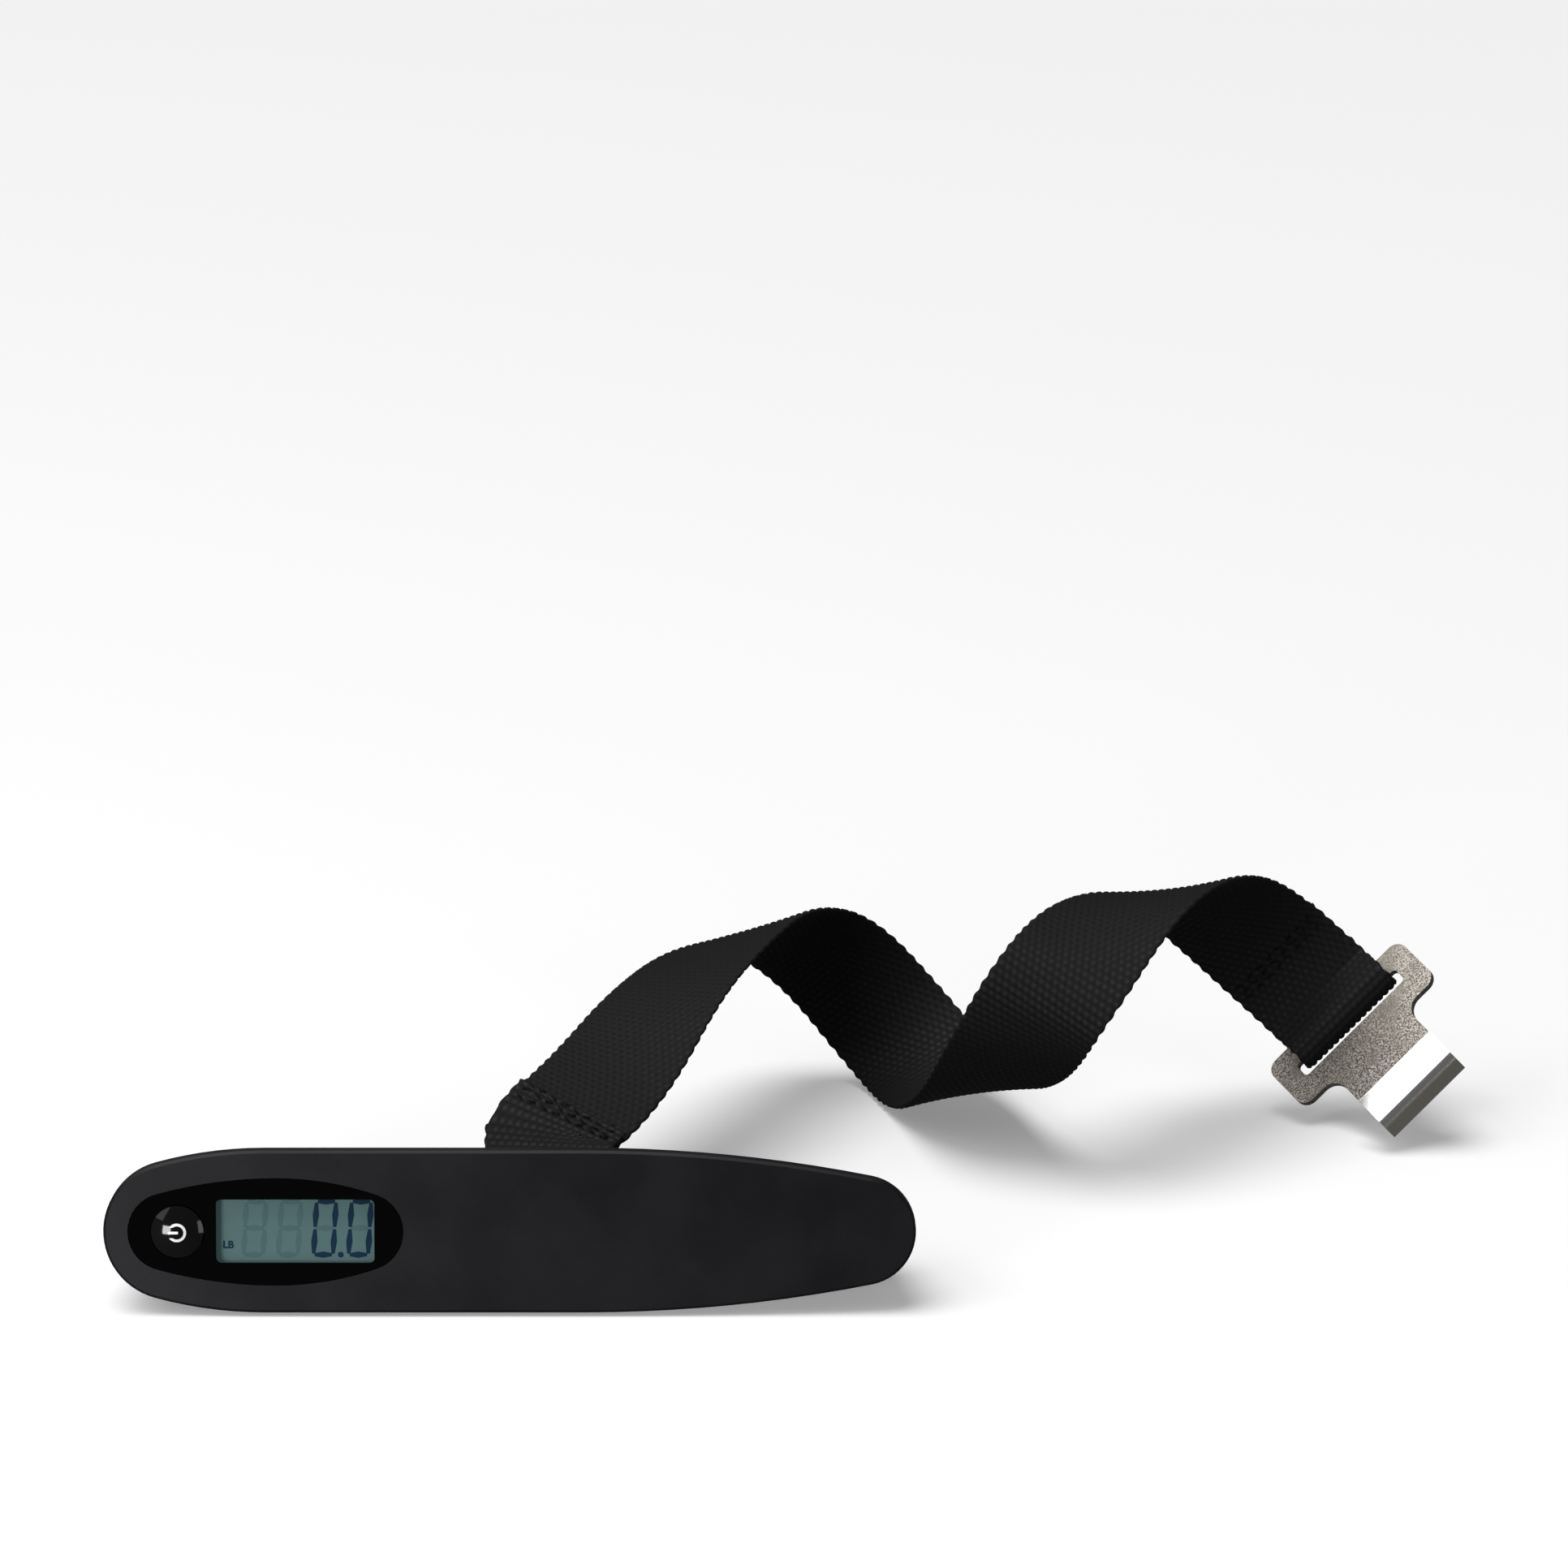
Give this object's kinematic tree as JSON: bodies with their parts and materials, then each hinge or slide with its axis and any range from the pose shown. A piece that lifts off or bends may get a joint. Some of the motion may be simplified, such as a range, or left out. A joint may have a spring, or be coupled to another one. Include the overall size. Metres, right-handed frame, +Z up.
{
  "type": "digital luggage scale",
  "caption": "Hand-held digital luggage scale: tapered black case with a display window and power button, metal ring, woven strap and folded metal hook.",
  "frame": {"origin": "on the ground under the middle of the case with its ring, measured without the webbing and its hook", "axes": "+X along the case from the display end to the slim end, +Y from the face to the back, +Z up"},
  "size_m": [0.2616, 0.1319, 0.0552],
  "materials": {
    "case_black": "fine matt grain",
    "window_black": "polished, clear over the display",
    "button_black": "polished",
    "print_white": "printed",
    "gasket_foam": "adhesive foam",
    "switch_metal": "tinned",
    "stem_black": "moulded",
    "lcd_glass": "polarised",
    "reflector_foil": "satin foil",
    "zebra_rubber": "striped silicone",
    "holder_white": "moulded",
    "board_green": "solder mask",
    "screw_steel": "zinc plated",
    "resin_black": "cured resin",
    "ceramic_tan": "ceramic",
    "beam_aluminium": "milled",
    "gauge_copper": "foil",
    "sealant_white": "silicone",
    "wire_red": "insulation",
    "plate_steel": "cold rolled",
    "ring_nickel": "dull nickel plate",
    "cell_steel": "stainless",
    "tray_black": "moulded",
    "collar_black": "moulded",
    "webbing_black": "woven polyester",
    "thread_black": "sewing thread"
  },
  "bodies": {
    "case": {"front_cover": "case_black", "rear_shell": "case_black", "window_lens": "window_black", "lens_gasket": "gasket_foam", "tact_switch": "switch_metal", "clock_crystal": "switch_metal", "lcd_glass": "lcd_glass", "lcd_reflector": "reflector_foil", "zebra_strips": "zebra_rubber", "lcd_holder": "holder_white", "main_board": "board_green", "board_screws": "screw_steel", "beam_screws": "screw_steel", "plate_screws": "screw_steel", "hanger_screw": "screw_steel", "case_screws": "screw_steel", "chip_resin": "resin_black", "capacitors": "ceramic_tan", "load_cell_beam": "beam_aluminium", "strain_gauges": "gauge_copper", "negative_contact": "gauge_copper", "positive_clip": "gauge_copper", "gauge_sealant": "sealant_white", "load_cell_wires": "wire_red", "base_plate": "plate_steel", "hanger_lug": "plate_steel", "coin_cell": "cell_steel", "battery_tray": "tray_black", "slot_collar": "collar_black"},
    "button": {"power_button": "button_black", "power_icon": "print_white", "switch_plunger": "stem_black"},
    "door": {"battery_door": "case_black"},
    "ring": {"strap_ring": "ring_nickel"},
    "strap": {"strap": "webbing_black", "ring_loop": "webbing_black", "hook_loop": "webbing_black", "ring_stitching": "thread_black", "hook_stitching": "thread_black"},
    "hook": {"strap_hook": "ring_nickel"}
  },
  "joints": [
    {"name": "button_press", "type": "slide", "parent": "case", "child": "button", "axis": [0, 0.9781, -0.2079], "range_m": [0, 0.0003], "stiffness_N_per_m": 2000, "springref_m": -0.0002},
    {"name": "door_hinge", "type": "hinge", "parent": "case", "child": "door", "pos_m": [-0.0486, 0.00293, 0.01147], "axis": [0, 0.2079, 0.9781], "range_deg": [0, 85]},
    {"name": "ring_hinge", "type": "hinge", "parent": "case", "child": "ring", "pos_m": [0.0063, 0.00762, 0.01047], "axis": [1, 0, 0], "range_deg": [-60, 40]},
    {"name": "strap_swing", "type": "hinge", "parent": "ring", "child": "strap", "pos_m": [0.0063, 0.01899, 0.01678], "axis": [1, 0, 0], "range_deg": [-40, 30]},
    {"name": "hook_swing", "type": "hinge", "parent": "strap", "child": "hook", "pos_m": [0.16241, 0.09167, 0.02024], "axis": [0.7091, 0.1898, 0.6791], "range_deg": [-40, 40]}
  ]
}
